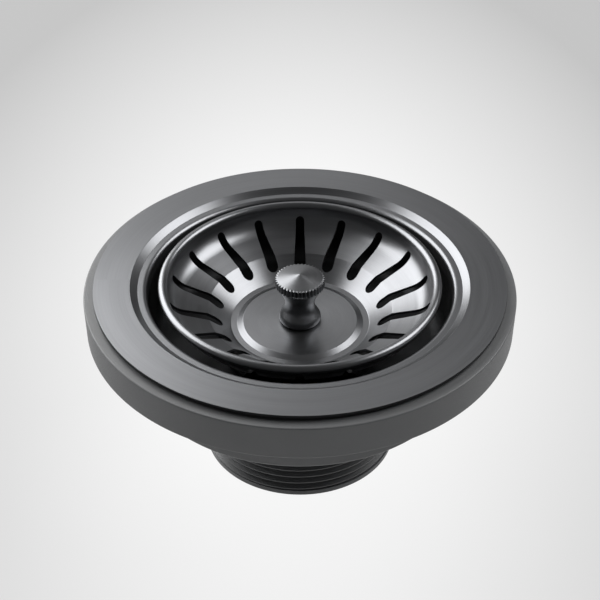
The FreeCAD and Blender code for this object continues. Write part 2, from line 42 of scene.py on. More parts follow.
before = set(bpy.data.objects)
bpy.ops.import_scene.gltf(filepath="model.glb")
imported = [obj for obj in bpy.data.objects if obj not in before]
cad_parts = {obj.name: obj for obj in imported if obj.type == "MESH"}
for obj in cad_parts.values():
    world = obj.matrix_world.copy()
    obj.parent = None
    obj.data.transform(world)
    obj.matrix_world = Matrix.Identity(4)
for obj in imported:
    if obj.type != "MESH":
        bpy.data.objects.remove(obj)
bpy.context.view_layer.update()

MM = 0.001
ARC_STEP = math.radians(9.0)
SMOOTH_ANGLE = math.radians(32.0)
WELD = 0.0005 * MM
NEAR = 0.002 * MM
# How far a joined tool reaches into the wall that it joins
OVERLAP = 1.0 * MM

# Softboxes: name, azimuth and elevation in degrees, width and height in metres, power in watts
SOFTBOXES = (
    ("left_softbox", 143.0, 29.0, 0.98, 1.0, 17.8),
    ("back_card", 101.0, 32.0, 0.5, 0.8, 1.0),
    ("right_softbox", 18.0, 43.0, 0.7, 0.58, 7.6),
)
SOFTBOX_DISTANCE = 0.9
ROOM_LIGHT = 0.12
CAMERA_PLACE = Vector((0.0, -353.2, 261.1)) * MM
CAMERA_TARGET = Vector((0.0, 0.0, -6.2)) * MM
CAMERA_LENS = 95.3
CAMERA_SENSOR = 36.0

FLANGE_LOW, FLANGE_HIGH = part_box("flange_dish")
BODY_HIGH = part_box("lower_body")[1]
TAIL_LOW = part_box("tail")[0]
BASKET_LOW, BASKET_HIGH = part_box("basket")
KNOB_LOW, KNOB_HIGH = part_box("knob")


def length(name, default, description):
    """A size of the object, in metres."""
    return FloatProperty(name=name, description=description, default=default, unit="LENGTH", precision=5)


def count(name, default, description):
    """How many times something repeats round the axis."""
    return IntProperty(name=name, description=description, default=default, min=1)


def linear(hex_colour):
    """An sRGB hex colour as linear red, green, blue and alpha."""
    channels = [int(hex_colour[place:place + 2], 16) / 255.0 for place in (1, 3, 5)]
    curve = [c / 12.92 if c <= 0.04045 else ((c + 0.055) / 1.055) ** 2.4 for c in channels]
    return (*curve, 1.0)


def shaded(base, share):
    """A linear colour made darker or lighter."""
    return [channel * share for channel in base[:3]] + [1.0]


def colour(name, hex_colour, description):
    """A colour of the object, given in sRGB hex."""
    return FloatVectorProperty(name=name, description=description, default=linear(hex_colour),
                               size=4, subtype="COLOR", min=0.0, max=1.0)


class FlangeSizes(bpy.types.PropertyGroup):
    """Sizes of the pressed flange and dish; radii and depths are of its upper face"""
    radius: length("Flange radius", FLANGE_HIGH.x, "Outer edge of the flange")
    top: length("Flange top", FLANGE_HIGH.z, "Height of the flange's upper face")
    gauge: length("Gauge", 0.9 * MM, "Thickness of the sheet")
    edge_round: length("Edge rounding", 0.06 * MM, "Rounding of the cut edge")
    crease_round: length("Crease rounding", 0.18 * MM, "Rounding of the bevel's two creases")
    bevel_radius: length("Bevel radius", 46.85 * MM, "Where the bevel leaves the flange")
    ledge_radius: length("Ledge radius", 44.9 * MM, "Where the bevel meets the ledge")
    ledge_depth: length("Ledge depth", 1.3 * MM, "Depth of the ledge below the flange")
    dish_radius: length("Dish radius", 42.3 * MM, "Wall of the dish at its mouth")
    dish_lip_bend: length("Lip bend", 1.3 * MM, "Bend from the ledge down into the wall")
    dish_base_radius: length("Dish base radius", 41.3 * MM, "Wall of the dish at its floor")
    dish_depth: length("Dish depth", 20.6 * MM, "Depth of the floor at the wall")
    dish_bend: length("Dish bend", 5.0 * MM, "Bend from the wall to the floor")
    seat_radius: length("Seat radius", 23.0 * MM, "Upper edge of the stopper's seat")
    seat_depth: length("Seat depth", 21.3 * MM, "Depth of the seat's upper edge")
    seat_round: length("Seat rounding", 0.5 * MM, "Rounding of the seat's two edges")
    sump_radius: length("Sump radius", 20.5 * MM, "Wall of the sump below the seat")
    sump_bend: length("Sump bend", 1.5 * MM, "Bend from the sump's wall to its floor")
    screw_hole: length("Screw hole radius", 5.2 * MM, "Hole in the sump's floor for the clamping screw")
    drain_count: count("Drains", 9, "Drain slots in the sump's floor")
    drain_inner: length("Drain inner radius", 9.2 * MM, "Inner end of a drain slot")
    drain_outer: length("Drain outer radius", 18.4 * MM, "Outer end of a drain slot")
    drain_width: length("Drain width", 5.4 * MM, "Width of a drain slot")


class BasketSizes(bpy.types.PropertyGroup):
    """Sizes of the pressed basket; radii are of its upper face"""
    gauge: length("Gauge", 0.8 * MM, "Thickness of the sheet")
    bead_radius: length("Bead radius", 1.25 * MM, "Half the thickness of the rolled rim")
    bead_centre: length("Bead centre", 37.95 * MM, "How far out the middle of the rolled rim lies")
    wall_radius: length("Wall radius", 36.75 * MM, "Inside of the upright wall")
    wall_bend: length("Wall bend", 6.4 * MM, "Bend from the wall to the upper cone")
    crease_radius: length("Crease radius", 25.8 * MM, "Where the upper cone meets the lower one")
    crease_round: length("Crease rounding", 0.8 * MM, "Rounding of that crease")
    upper_slope: FloatProperty(name="Upper slope", description="Slope of the upper cone",
                               default=math.radians(19.0), subtype="ANGLE")
    lower_slope: FloatProperty(name="Lower slope", description="Slope of the lower cone",
                               default=math.radians(38.4), subtype="ANGLE")
    floor_radius: length("Floor radius", 19.5 * MM, "Foot of the lower cone")
    step_radius: length("Step radius", 17.7 * MM, "Foot of the step up to the plateau")
    plateau_radius: length("Plateau radius", 16.0 * MM, "Edge of the raised centre")
    plateau_height: length("Plateau height", 0.7 * MM, "Height of the raised centre above the floor")
    step_round: length("Step rounding", 0.35 * MM, "Rounding of the step's edges")
    stem_hole: length("Stem hole radius", 2.6 * MM, "Hole for the stem")
    slot_count: count("Slots", 18, "Drain slots round the bowl")
    slot_inner: length("Slot inner radius", 21.9 * MM, "Inner end of a slot")
    slot_outer: length("Slot outer radius", 36.2 * MM, "Outer end of a slot")
    slot_inner_width: length("Slot inner width", 3.4 * MM, "Width of a slot at its inner end")
    slot_outer_width: length("Slot outer width", 2.5 * MM, "Width of a slot at its outer end")
    slot_top: length("Slot top", -2.6 * MM, "Height of a slot's upper end in the wall")
    slot_top_length: length("Slot top length", 4.6 * MM, "Length of a slot in the wall")


class KnobSizes(bpy.types.PropertyGroup):
    """Sizes of the turned knob; heights are above the basket's centre"""
    radius: length("Head radius", 6.9 * MM, "Crest of the knurl")
    cone: length("Cone height", 1.45 * MM, "Height of the coned top")
    edge: length("Edge height", 2.2 * MM, "Height of the knurled edge")
    edge_round: length("Edge rounding", 0.08 * MM, "Rounding of the knurl's ends")
    neck_radius: length("Neck radius", 4.1 * MM, "Narrowest radius of the neck")
    neck_start: length("Neck start", 4.6 * MM, "Lower end of the neck")
    neck_end: length("Neck end", 7.2 * MM, "Upper end of the neck")
    flare_radius: length("Flare radius", 6.3 * MM, "Where the neck meets the head's underside")
    flare_round: length("Flare rounding", 5.0 * MM, "Curve from the neck to the flare")
    bulb_radius: length("Bulb radius", 5.85 * MM, "Widest radius of the foot")
    bulb_height: length("Bulb height", 2.0 * MM, "Height of the foot's widest part")
    bulb_round: length("Bulb rounding", 2.7 * MM, "Rounding above the foot")
    base_round: length("Base rounding", 1.1 * MM, "Rounding below the foot")
    waist_round: length("Waist rounding", 4.0 * MM, "Curve from the foot to the neck")
    bore_radius: length("Bore radius", 2.55 * MM, "Hole that the stem screws into")
    bore_depth: length("Bore depth", 8.0 * MM, "Depth of that hole")
    knurl_count: count("Knurl teeth", 40, "Teeth of the straight knurl")
    knurl_depth: length("Knurl depth", 0.5 * MM, "Depth of a notch")
    knurl_width: length("Knurl width", 0.86 * MM, "Width of a notch at the crest")


class BodySizes(bpy.types.PropertyGroup):
    """Sizes of the moulded lower body; heights are in the frame, below the sink's surface"""
    ring_radius: length("Ring radius", BODY_HIGH.x, "Upper edge of the clamping ring")
    ring_top: length("Ring top", BODY_HIGH.z, "Height of the ring's top at its groove")
    ring_fall: length("Ring fall", 0.35 * MM, "Fall of the ring's top to its edge")
    ring_draft: length("Ring draft", 0.25 * MM, "How far the ring's wall draws in downwards")
    ring_height: length("Ring height", 10.5 * MM, "Height of the ring")
    ring_wall: length("Ring wall", 2.4 * MM, "Thickness of the ring's skirt")
    ring_plate: length("Ring plate", 3.9 * MM, "Thickness of the ring's top")
    ring_edge_round: length("Ring edge rounding", 0.45 * MM, "Rounding of the ring's edges")
    rib_count: count("Ribs", 12, "Ribs under the ring")
    rib_wall: length("Rib wall", 2.0 * MM, "Thickness of a rib")
    rib_recess: length("Rib recess", 1.5 * MM, "How far the ribs stop above the skirt's foot")
    groove_inner: length("Groove inner radius", 48.4 * MM, "Inner wall of the gasket's groove")
    groove_outer: length("Groove outer radius", 55.6 * MM, "Outer wall of the gasket's groove")
    groove_depth: length("Groove depth", 1.4 * MM, "Depth of the gasket's groove")
    drum_radius: length("Drum radius", 47.1 * MM, "Outside of the drum")
    drum_bore: length("Drum bore", 44.6 * MM, "Inside of the drum")
    drum_base: length("Drum base", -25.8 * MM, "Underside of the drum")
    drum_floor: length("Drum floor", -23.4 * MM, "Upper face of the drum's floor")
    drum_edge_round: length("Drum edge rounding", 0.8 * MM, "Rounding of the drum's lower edge")
    mouth_bevel: length("Mouth bevel", 2.6 * MM, "Bevel at the mouth of the drum")
    inner_round: length("Inner rounding", 0.5 * MM, "Rounding of the moulding's inner corners")
    tail_radius: length("Tail radius", 27.5 * MM, "Outside of the tail")
    tail_bore: length("Tail bore", 23.2 * MM, "Inside of the tail")
    tail_edge: length("Tail edge", 0.5 * MM, "Bevel at the end of the tail")
    tail_root_round: length("Tail root rounding", 1.0 * MM, "Rounding where the tail leaves the drum")
    relief_top: length("Relief top", -29.8 * MM, "Upper wall of the thread's relief groove")
    relief_radius: length("Relief radius", 25.7 * MM, "Floor of the relief groove")
    thread_top: length("Thread top", -31.4 * MM, "Upper end of the thread")
    thread_end: length("Thread end", -53.2 * MM, "Lower end of the thread, above the plain land")
    thread_pitch: length("Thread pitch", 25.4 / 11 * MM, "Eleven turns to the inch")
    thread_crest: length("Thread crest", 27.4 * MM, "Radius of the thread's crest")
    thread_root: length("Thread root", 25.7 * MM, "Radius of the thread's root")
    hub_radius: length("Hub radius", 8.0 * MM, "Outside of the hub")
    hub_bore: length("Hub bore", 6.2 * MM, "Hole in the hub for the brass insert")
    hub_top: length("Hub top", -29.6 * MM, "Upper face of the hub")
    hub_base: length("Hub base", -43.0 * MM, "Lower face of the hub and webs")
    web_count: count("Webs", 4, "Webs that carry the hub")
    web_wall: length("Web wall", 2.4 * MM, "Thickness of a web")
    web_top: length("Web top", -32.0 * MM, "Upper edge of the webs")


class FinishColours(bpy.types.PropertyGroup):
    """Colours of the finishes"""
    gunmetal: colour("Gunmetal", "#707173", "Coated steel of the flange, basket and knob")
    moulding: colour("Moulding", "#545556", "Plastic of the lower body")
    rubber: colour("Rubber", "#161616", "Gaskets and stopper")
    steel: colour("Steel", "#bdbcb8", "Stem, washers and clamping screw")
    nylon: colour("Nylon", "#d9d5c8", "Catch and screw washer")
    brass: colour("Brass", "#c9a257", "Threaded insert")
    paper: colour("Paper", "#dedede", "Floor that the part stands on")


class StrainerSettings(bpy.types.PropertyGroup):
    """All that a user would change"""
    flange: PointerProperty(type=FlangeSizes)
    basket: PointerProperty(type=BasketSizes)
    knob: PointerProperty(type=KnobSizes)
    body: PointerProperty(type=BodySizes)
    colours: PointerProperty(type=FinishColours)
    segments: count("Segments", 288, "Steps round a turned or pressed piece")


def rounded(corners, closed):
    """Points of an outline of (radius, height, rounding) corners, each rounding drawn as an arc."""
    points = []
    last = len(corners) - 1
    for place, (radius, height, rounding) in enumerate(corners):
        corner = Vector((radius, height))
        if rounding == 0.0 or (not closed and place in (0, last)):
            points.append(corner)
            continue
        before = (Vector(corners[place - 1][:2]) - corner).normalized()
        after = (Vector(corners[(place + 1) % len(corners)][:2]) - corner).normalized()
        half = before.angle(after) / 2.0
        centre = corner + (before + after).normalized() * rounding / math.sin(half)
        start = corner + before * rounding / math.tan(half) - centre
        end = corner + after * rounding / math.tan(half) - centre
        sweep = math.pi - 2.0 * half
        turn = math.copysign(sweep, start.x * end.y - start.y * end.x)
        points.extend(arc(centre, start, turn))
    return points


def arc(centre, start, turn):
    """Points from centre + start, turned about the centre."""
    steps = max(2, math.ceil(abs(turn) / ARC_STEP))
    angles = [turn * step / steps for step in range(steps + 1)]
    return [centre + Vector((start.x * math.cos(a) - start.y * math.sin(a),
                             start.x * math.sin(a) + start.y * math.cos(a))) for a in angles]


def under_face(corners, gauge):
    """The corners of a sheet's other face, one gauge to the right of its path, with bends that match."""
    spots = [Vector(corner[:2]) for corner in corners]
    sides = []
    for start, end in zip(spots, spots[1:]):
        along = (end - start).normalized()
        sides.append(Vector((along.y, -along.x)))
    under = []
    for place, spot in enumerate(spots):
        before = sides[max(place - 1, 0)]
        after = sides[min(place, len(sides) - 1)]
        mitre = (before + after) / (1.0 + before.dot(after))
        bends_right = before.x * after.y - before.y * after.x < 0.0
        rounding = corners[place][2]
        if rounding and place not in (0, len(spots) - 1):
            rounding = max(rounding - gauge if bends_right else rounding + gauge, abs(gauge) / 4.0)
        under.append((*(spot + mitre * gauge), rounding))
    return under


def draw_outline(name, points, closed):
    """A new mesh, left in edit mode, whose one vertex is extruded through the outline's points."""
    bpy.ops.object.select_all(action="DESELECT")
    bpy.ops.mesh.primitive_plane_add(size=MM)
    piece = bpy.context.object
    piece.name = piece.data.name = name
    bpy.ops.object.mode_set(mode="EDIT")
    bpy.ops.mesh.merge(type="CENTER")
    bpy.ops.transform.translate(value=(points[0].x, 0.0, points[0].y))
    for start, end in zip(points, points[1:]):
        step = end - start
        bpy.ops.mesh.extrude_vertices_move(TRANSFORM_OT_translate={"value": (step.x, 0.0, step.y)})
    if closed:
        select_vertices(piece, lambda spot: (spot.xz - points[0]).length < NEAR
                        or (spot.xz - points[-1]).length < NEAR)
        bpy.ops.mesh.edge_face_add()
    return piece


def select_vertices(piece, wanted):
    """In edit mode, selects only the vertices whose place is wanted."""
    bpy.ops.mesh.select_mode(type="VERT")
    bpy.ops.mesh.select_all(action="DESELECT")
    bpy.ops.object.mode_set(mode="OBJECT")
    for vertex in piece.data.vertices:
        vertex.select = wanted(vertex.co)
    bpy.ops.object.mode_set(mode="EDIT")


def turn_round(steps):
    """In edit mode, spins the outline once round the upright axis and closes the seam."""
    bpy.ops.mesh.select_all(action="SELECT")
    bpy.ops.mesh.spin(steps=steps, angle=2.0 * math.pi, center=(0.0, 0.0, 0.0), axis=(0.0, 0.0, 1.0))
    bpy.ops.mesh.select_all(action="SELECT")
    bpy.ops.mesh.remove_doubles(threshold=WELD)
    bpy.ops.mesh.normals_make_consistent(inside=False)


def turned(name, points, steps, closed=False):
    """A solid turned from an outline."""
    piece = draw_outline(name, points, closed)
    turn_round(steps)
    bpy.ops.object.mode_set(mode="OBJECT")
    return piece


def apply_modifier(piece, kind, **settings):
    """Adds a modifier with its settings and applies it."""
    bpy.ops.object.select_all(action="DESELECT")
    piece.select_set(True)
    bpy.context.view_layer.objects.active = piece
    modifier = piece.modifiers.new(kind.title(), kind)
    for setting, value in settings.items():
        setattr(modifier, setting, value)
    bpy.ops.object.modifier_apply(modifier=modifier.name)


def combine(piece, tool, operation):
    """Cuts a tool's solid from the piece, or joins it on, and removes the tool."""
    apply_modifier(piece, "BOOLEAN", object=tool, operation=operation, solver="EXACT")
    bpy.data.meshes.remove(tool.data)


def repeat_round(copies):
    """In edit mode, repeats what is selected evenly round the upright axis."""
    share = (copies - 1) / copies
    bpy.ops.mesh.spin(steps=copies - 1, dupli=True, angle=2.0 * math.pi * share,
                      center=(0.0, 0.0, 0.0), axis=(0.0, 0.0, 1.0))
    bpy.ops.mesh.select_all(action="SELECT")


def punches(ends, depth, copies, turn=(0.0, 0.0, 0.0)):
    """Punches round the axis, each the hull of two pins given as (place, width)."""
    bpy.ops.object.select_all(action="DESELECT")
    bpy.ops.mesh.primitive_plane_add(size=MM)
    punch = bpy.context.object
    bpy.ops.object.mode_set(mode="EDIT")
    bpy.ops.mesh.delete(type="VERT")
    for place, width in ends:
        bpy.ops.mesh.primitive_cylinder_add(vertices=32, radius=width / 2.0, depth=depth,
                                            location=place, rotation=turn)
    bpy.ops.mesh.select_all(action="SELECT")
    bpy.ops.mesh.convex_hull()
    bpy.ops.mesh.select_all(action="SELECT")
    repeat_round(copies)
    bpy.ops.mesh.normals_make_consistent(inside=False)
    bpy.ops.object.mode_set(mode="OBJECT")
    return punch


def finish_piece(piece, body, slot, material, *nodes):
    """Smooths a piece, gives it its finish and lets it stand for its solid."""
    bpy.ops.object.select_all(action="DESELECT")
    piece.select_set(True)
    bpy.context.view_layer.objects.active = piece
    bpy.ops.object.shade_smooth_by_angle(angle=SMOOTH_ANGLE)
    apply_modifier(piece, "WEIGHTED_NORMAL", keep_sharp=True)
    piece.data.materials.clear()
    piece.data.materials.append(material)
    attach(piece, body)
    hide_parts(*nodes)


def add_node(material, kind, inputs=None, **settings):
    """Adds a node with its settings; an input is a value, or an output to link."""
    node = material.node_tree.nodes.new(kind)
    for setting, value in settings.items():
        setattr(node, setting, value)
    for socket, value in (inputs or {}).items():
        if isinstance(value, bpy.types.NodeSocket):
            material.node_tree.links.new(value, node.inputs[socket])
        else:
            node.inputs[socket].default_value = value
    return node


def new_material(name):
    """An empty material and its output."""
    material = bpy.data.materials.new(name)
    material.use_nodes = True
    material.node_tree.nodes.clear()
    return material, add_node(material, "ShaderNodeOutputMaterial")


def turned_coordinates(material, across, along):
    """Object coordinates as (radius, height, angle), scaled so that marks run round the axis."""
    place = add_node(material, "ShaderNodeTexCoord").outputs["Object"]
    split = add_node(material, "ShaderNodeSeparateXYZ", {0: place}).outputs
    squares = add_node(material, "ShaderNodeMath", {0: split["X"], 1: split["X"]}, operation="MULTIPLY")
    total = add_node(material, "ShaderNodeMath", {0: split["Y"], 1: split["Y"], 2: squares.outputs[0]},
                     operation="MULTIPLY_ADD")
    radius = add_node(material, "ShaderNodeMath", {0: total.outputs[0]}, operation="SQRT")
    angle = add_node(material, "ShaderNodeMath", {0: split["Y"], 1: split["X"]}, operation="ARCTAN2")
    wide = add_node(material, "ShaderNodeMath", {0: radius.outputs[0], 1: across}, operation="MULTIPLY")
    tall = add_node(material, "ShaderNodeMath", {0: split["Z"], 1: across}, operation="MULTIPLY")
    round_axis = add_node(material, "ShaderNodeMath", {0: angle.outputs[0], 1: along}, operation="MULTIPLY")
    return add_node(material, "ShaderNodeCombineXYZ", {
        "X": wide.outputs[0], "Y": tall.outputs[0], "Z": round_axis.outputs[0],
    }).outputs[0]


def brushed_gunmetal(name, base, brushed_unshaded_above):
    """Coated steel sheet with brush marks round its axis: fine ring marks and a gloss that spreads across
    them.

    Below a height, and on its cut edge, the sheet is as it was pressed: duller, and darkened by painted
    shade that stands in for the shadow in the dish and in the gap under the flange's edge.
    """
    material, output = new_material(name)
    # Real marks are some 0.05 mm wide. These are coarser, so that they show.
    mark_width = 0.14 * MM
    marks_per_radian = 2.0
    marks = add_node(material, "ShaderNodeTexNoise", {
        "Vector": turned_coordinates(material, 1.0 / mark_width, marks_per_radian),
        "Scale": 1.0, "Detail": 1.0,
    })
    band_width = 1.6 * MM
    bands_per_radian = 1.2
    bands = add_node(material, "ShaderNodeTexNoise", {
        "Vector": turned_coordinates(material, 1.0 / band_width, bands_per_radian),
        "Scale": 1.0, "Detail": 3.0,
    })
    mixed = add_node(material, "ShaderNodeMath", {0: marks.outputs["Fac"], 1: bands.outputs["Fac"]})
    place = add_node(material, "ShaderNodeTexCoord").outputs["Object"]
    split = add_node(material, "ShaderNodeSeparateXYZ", {0: place}).outputs
    level = add_node(material, "ShaderNodeCombineXYZ", {"X": split["X"], "Y": split["Y"]}).outputs[0]
    radius = add_node(material, "ShaderNodeVectorMath", {0: level}, operation="LENGTH").outputs["Value"]
    fade = 2.0 * MM
    high = add_node(material, "ShaderNodeMapRange", {
        "Value": split["Z"], "From Min": brushed_unshaded_above - fade, "From Max": brushed_unshaded_above,
    })
    cut_edge = FLANGE_HIGH.x - 0.05 * MM
    inside = add_node(material, "ShaderNodeMath", {0: radius, 1: cut_edge}, operation="LESS_THAN")
    brushed_unshaded = add_node(material, "ShaderNodeMath", {0: high.outputs[0], 1: inside.outputs[0]},
                       operation="MULTIPLY")
    brushed_roughness = add_node(material, "ShaderNodeMapRange", {
        "Value": mixed.outputs[0], "From Min": 0.7, "From Max": 1.3, "To Min": 0.295, "To Max": 0.325,
    })
    pressed_roughness = 0.45
    roughness = add_node(material, "ShaderNodeMix", {
        "Factor": brushed_unshaded.outputs[0], "A": pressed_roughness, "B": brushed_roughness.outputs[0],
    })
    tone = add_node(material, "ShaderNodeMapRange", {
        "Value": mixed.outputs[0], "From Min": 0.7, "From Max": 1.3, "To Min": 0.0, "To Max": 1.0,
    })
    brushed_tint = add_node(material, "ShaderNodeMixRGB", {
        "Fac": tone.outputs[0], "Color1": shaded(base, 0.93), "Color2": shaded(base, 1.05),
    })
    # Painted shade: pressed sheet, in the dish and on the cut edge, drops to a fifth of the colour, standing
    # in for the shadow there; only its duller gloss is real.
    tint_with_painted_shade = add_node(material, "ShaderNodeMixRGB", {
        "Fac": brushed_unshaded.outputs[0], "Color1": shaded(base, 0.2), "Color2": brushed_tint.outputs[0],
    })
    bump = add_node(material, "ShaderNodeBump", {
        "Height": marks.outputs["Fac"], "Strength": 0.01, "Distance": 0.04 * MM,
    })
    tangent = add_node(material, "ShaderNodeTangent", direction_type="RADIAL", axis="Z")
    shader = add_node(material, "ShaderNodeBsdfPrincipled", {
        "Base Color": tint_with_painted_shade.outputs[0], "Metallic": 1.0, "Roughness": roughness.outputs[0],
        "Anisotropic": 0.35, "Anisotropic Rotation": 0.25,
        "Normal": bump.outputs[0], "Tangent": tangent.outputs[0],
    })
    material.node_tree.links.new(shader.outputs[0], output.inputs["Surface"])
    return material


def moulded_plastic(colours):
    """Polypropylene from a spark-eroded mould: dark grey, with a grain that breaks up its satin gloss."""
    material, output = new_material("moulded_polypropylene")
    place = add_node(material, "ShaderNodeTexCoord").outputs["Object"]
    # A real spark grain is some 0.1 mm. This one is coarser, so that it shows.
    grain_size = 0.35 * MM
    grain = add_node(material, "ShaderNodeTexNoise", {
        "Vector": place, "Scale": 1.0 / grain_size, "Detail": 2.0, "Roughness": 0.6,
    })
    flow_size = 14.0 * MM
    flow = add_node(material, "ShaderNodeTexNoise", {
        "Vector": place, "Scale": 1.0 / flow_size, "Detail": 2.0,
    })
    shade = add_node(material, "ShaderNodeMixRGB", {
        "Fac": flow.outputs["Fac"], "Color1": shaded(colours.moulding, 0.9),
        "Color2": shaded(colours.moulding, 1.1),
    })
    roughness = add_node(material, "ShaderNodeMapRange", {
        "Value": grain.outputs["Fac"], "From Min": 0.3, "From Max": 0.7, "To Min": 0.42, "To Max": 0.56,
    })
    bump = add_node(material, "ShaderNodeBump", {
        "Height": grain.outputs["Fac"], "Strength": 0.18, "Distance": 0.04 * MM,
    })
    shader = add_node(material, "ShaderNodeBsdfPrincipled", {
        "Base Color": shade.outputs[0], "Roughness": roughness.outputs[0], "IOR": 1.49,
        "Normal": bump.outputs[0],
    })
    material.node_tree.links.new(shader.outputs[0], output.inputs["Surface"])
    return material


def plain_finish(name, base, metallic, roughness_low, roughness_high, grain_size):
    """A finish with an all-over grain, drawn coarse enough to show, for the pieces hidden inside."""
    material, output = new_material(name)
    place = add_node(material, "ShaderNodeTexCoord").outputs["Object"]
    grain = add_node(material, "ShaderNodeTexNoise", {
        "Vector": place, "Scale": 1.0 / grain_size, "Detail": 3.0,
    })
    shade = add_node(material, "ShaderNodeMixRGB", {
        "Fac": grain.outputs["Fac"], "Color1": shaded(base, 0.85), "Color2": base,
    })
    roughness = add_node(material, "ShaderNodeMapRange", {
        "Value": grain.outputs["Fac"], "From Min": 0.3, "From Max": 0.7,
        "To Min": roughness_low, "To Max": roughness_high,
    })
    bump = add_node(material, "ShaderNodeBump", {
        "Height": grain.outputs["Fac"], "Strength": 0.1, "Distance": 0.03 * MM,
    })
    shader = add_node(material, "ShaderNodeBsdfPrincipled", {
        "Base Color": shade.outputs[0], "Metallic": metallic, "Roughness": roughness.outputs[0],
        "Normal": bump.outputs[0],
    })
    material.node_tree.links.new(shader.outputs[0], output.inputs["Surface"])
    return material


class STRAINER_OT_flange_dish(bpy.types.Operator):
    """Presses the flange, its bevelled step and the dish from one sheet, and pierces the drains"""
    bl_idname = "strainer.flange_dish"
    bl_label = "Flange and Dish"

    def execute(self, context):
        settings = context.scene.strainer
        sizes = settings.flange
        top = sizes.top
        sump_floor = FLANGE_LOW.z + sizes.gauge
        seat_top = top - sizes.seat_depth
        upper = [
            (sizes.radius, top, sizes.edge_round),
            (sizes.bevel_radius, top, sizes.crease_round),
            (sizes.ledge_radius, top - sizes.ledge_depth, sizes.crease_round),
            (sizes.dish_radius, top - sizes.ledge_depth, sizes.dish_lip_bend),
            (sizes.dish_base_radius, top - sizes.dish_depth, sizes.dish_bend),
            (sizes.seat_radius, seat_top, sizes.seat_round),
            (sizes.sump_radius, seat_top - sizes.seat_radius + sizes.sump_radius, sizes.seat_round),
            (sizes.sump_radius, sump_floor, sizes.sump_bend),
            (sizes.screw_hole, sump_floor, 0.0),
        ]
        under = under_face(upper, -sizes.gauge)
        outline = rounded(upper + under[::-1], closed=True)
        piece = turned("pressed_flange", outline, settings.segments, closed=True)
        half = sizes.drain_width / 2.0
        ends = [((0.0, place, sump_floor), sizes.drain_width)
                for place in (sizes.drain_inner + half, sizes.drain_outer - half)]
        through = 4.0 * sizes.gauge
        combine(piece, punches(ends, through, sizes.drain_count), "DIFFERENCE")
        finish_piece(piece, "waste", "gunmetal_steel", bpy.data.materials["pressed_gunmetal_steel_with_painted_shade"],
                     "flange_dish")
        return {"FINISHED"}


class STRAINER_OT_basket(bpy.types.Operator):
    """Presses the bowl with its rolled rim and raised centre, and pierces the slots"""
    bl_idname = "strainer.basket"
    bl_label = "Basket"

    def execute(self, context):
        settings = context.scene.strainer
        sizes = settings.basket
        bead = sizes.bead_radius
        bead_centre = Vector((sizes.bead_centre, BASKET_HIGH.z - bead))
        outer_wall = sizes.wall_radius + sizes.gauge
        floor = BASKET_LOW.z + sizes.gauge
        crease = floor + (sizes.crease_radius - sizes.floor_radius) * math.tan(sizes.lower_slope)
        wall_base = crease + (sizes.wall_radius - sizes.crease_radius) * math.tan(sizes.upper_slope)
        upper = [
            (sizes.stem_hole, floor + sizes.plateau_height, 0.0),
            (sizes.plateau_radius, floor + sizes.plateau_height, sizes.step_round),
            (sizes.step_radius, floor, sizes.step_round),
            (sizes.floor_radius, floor, sizes.step_round),
            (sizes.crease_radius, crease, sizes.crease_round),
            (sizes.wall_radius, wall_base, sizes.wall_bend),
            (sizes.wall_radius, bead_centre.y, 0.0),
        ]
        under = under_face(upper, sizes.gauge)
        start = math.acos((sizes.wall_radius - bead_centre.x) / bead)
        end = math.acos((outer_wall - bead_centre.x) / bead)
        first = Vector((math.cos(start), -math.sin(start))) * bead
        rim = arc(bead_centre, first, start - end - 2.0 * math.pi)
        loop = upper[:-1] + [(*spot, 0.0) for spot in rim] + under[-2::-1]
        piece = turned("pressed_basket", rounded(loop, closed=True), settings.segments, closed=True)
        inner = sizes.slot_inner + sizes.slot_inner_width / 2.0
        outer = sizes.slot_outer - sizes.slot_outer_width / 2.0
        floor_ends = [((0.0, inner, floor), sizes.slot_inner_width),
                      ((0.0, outer, floor), sizes.slot_outer_width)]
        through_floor = -2.5 * floor
        combine(piece, punches(floor_ends, through_floor, sizes.slot_count), "DIFFERENCE")
        half = sizes.slot_outer_width / 2.0
        wall_ends = [((0.0, sizes.wall_radius, height), sizes.slot_outer_width)
                     for height in (sizes.slot_top - half, sizes.slot_top - sizes.slot_top_length + half)]
        through_wall = 1.5 * sizes.wall_bend
        lying = (math.pi / 2.0, 0.0, 0.0)
        combine(piece, punches(wall_ends, through_wall, sizes.slot_count, lying), "DIFFERENCE")
        finish_piece(piece, "strainer", "gunmetal_steel", bpy.data.materials["brushed_gunmetal_steel"],
                     "basket")
        return {"FINISHED"}


